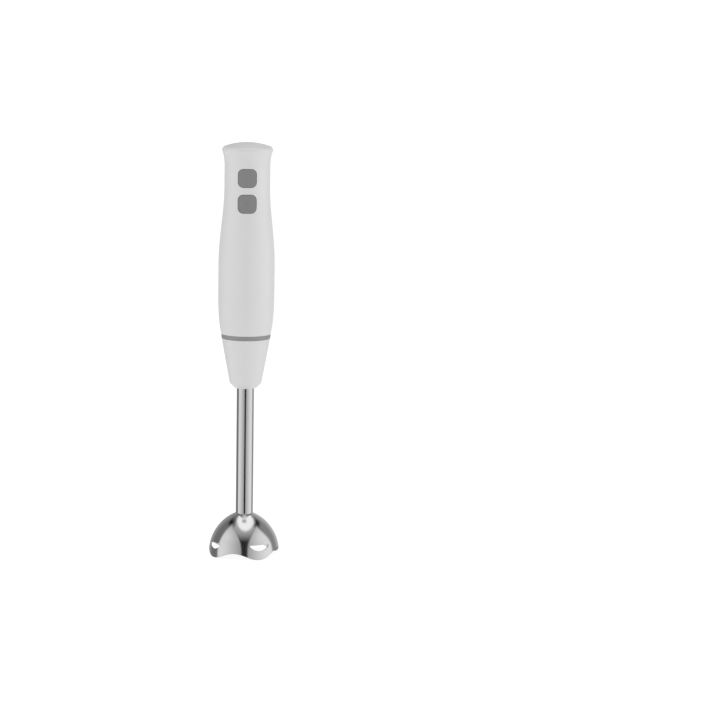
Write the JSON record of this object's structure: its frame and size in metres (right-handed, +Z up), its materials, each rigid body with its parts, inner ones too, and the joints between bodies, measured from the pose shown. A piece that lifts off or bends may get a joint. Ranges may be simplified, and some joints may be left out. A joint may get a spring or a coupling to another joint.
{
  "type": "immersion blender",
  "caption": "Immersion blender with a round waisted grip, front buttons, lift-off steel shaft leg and a domed blade guard with scalloped feet and feed slots.",
  "frame": {"origin": "on the shaft axis, at the level of the blade guard's feet", "axes": "+Z up along the shaft towards the cap, -Y towards the buttons, +X to the right seen from the buttons"},
  "size_m": [0.065, 0.0654, 0.3845],
  "materials": {
    "polished_steel": "mirror polished stainless steel",
    "blade_steel": "ground stainless steel",
    "rod_steel": "drawn steel rod",
    "screw_steel": "zinc plated steel",
    "body_plastic": "fine satin moulding, warm white grey",
    "trim_plastic": "satin mid grey",
    "button_plastic": "soft-touch mid grey",
    "socket_plastic": "moulded grey nylon",
    "black_plastic": "moulded black nylon",
    "rubber": "black rubber",
    "bronze": "sintered bronze",
    "can_steel": "zinc plated sheet",
    "ferrite": "sintered ferrite and carbon",
    "brass": "stamped brass",
    "copper_wire": "enamelled copper wire",
    "board_green": "solder mask",
    "film_yellow": "moulded case"
  },
  "bodies": {
    "leg": {"bell": "polished_steel", "bell_hub": "polished_steel", "tube": "polished_steel", "lower_bush": "bronze", "shaft_seal": "rubber", "seal_cup": "polished_steel", "upper_bush": "bronze", "leg_collar": "body_plastic", "leg_socket": "socket_plastic"},
    "drive_shaft": {"drive_rod": "rod_steel", "rod_clip": "rod_steel", "drive_cup": "black_plastic", "blade_hub": "blade_steel", "blade": "blade_steel", "blade_nut": "blade_steel"},
    "motor_unit": {"motor_base": "socket_plastic", "o_ring": "rubber", "trim_ring": "trim_plastic", "front_housing": "body_plastic", "rear_housing": "body_plastic", "top_cap": "body_plastic", "cord_gland": "rubber", "cord_clamp": "socket_plastic", "clamp_screws": "screw_steel", "housing_screws": "screw_steel", "lower_damper": "rubber", "upper_damper": "rubber", "motor_can": "can_steel", "magnets": "ferrite", "lower_bearing": "bronze", "end_bell": "black_plastic", "upper_bearing": "bronze", "brush_holders": "brass", "carbon_brushes": "ferrite", "brush_springs": "screw_steel", "switch_bracket": "socket_plastic", "switch_board": "board_green", "on_switch": "black_plastic", "turbo_switch": "black_plastic", "board_screws": "screw_steel", "rectifier": "black_plastic", "capacitor": "film_yellow", "chokes": "copper_wire", "on_spring": "screw_steel", "turbo_spring": "screw_steel"},
    "rotor": {"motor_shaft": "rod_steel", "armature_core": "can_steel", "armature_winding": "copper_wire", "commutator": "brass", "fan": "black_plastic", "drive_dog": "black_plastic"},
    "on_button": {"on_button": "button_plastic"},
    "turbo_button": {"turbo_button": "button_plastic"}
  },
  "joints": [
    {"name": "unit_lift", "type": "slide", "parent": "leg", "child": "motor_unit", "axis": [0, 0, 1], "range_m": [0, 0.05]},
    {"name": "motor_spin", "type": "hinge", "parent": "motor_unit", "child": "rotor", "pos_m": [0, 0, 0.24], "axis": [0, 0, 1], "continuous": true},
    {"name": "blade_spin", "type": "hinge", "parent": "leg", "child": "drive_shaft", "pos_m": [0, 0, 0.1], "axis": [0, 0, 1], "continuous": true},
    {"name": "on_press", "type": "slide", "parent": "motor_unit", "child": "on_button", "axis": [0, 1, 0], "range_m": [0, 0.0018], "stiffness_N_per_m": 700, "springref_m": -0.001, "deforming": ["on_spring"]},
    {"name": "turbo_press", "type": "slide", "parent": "motor_unit", "child": "turbo_button", "axis": [0, 1, 0], "range_m": [0, 0.0018], "stiffness_N_per_m": 700, "springref_m": -0.001, "deforming": ["turbo_spring"]}
  ],
  "couplings": [
    {"joint": "blade_spin", "follows": "motor_spin", "ratio": 1}
  ]
}
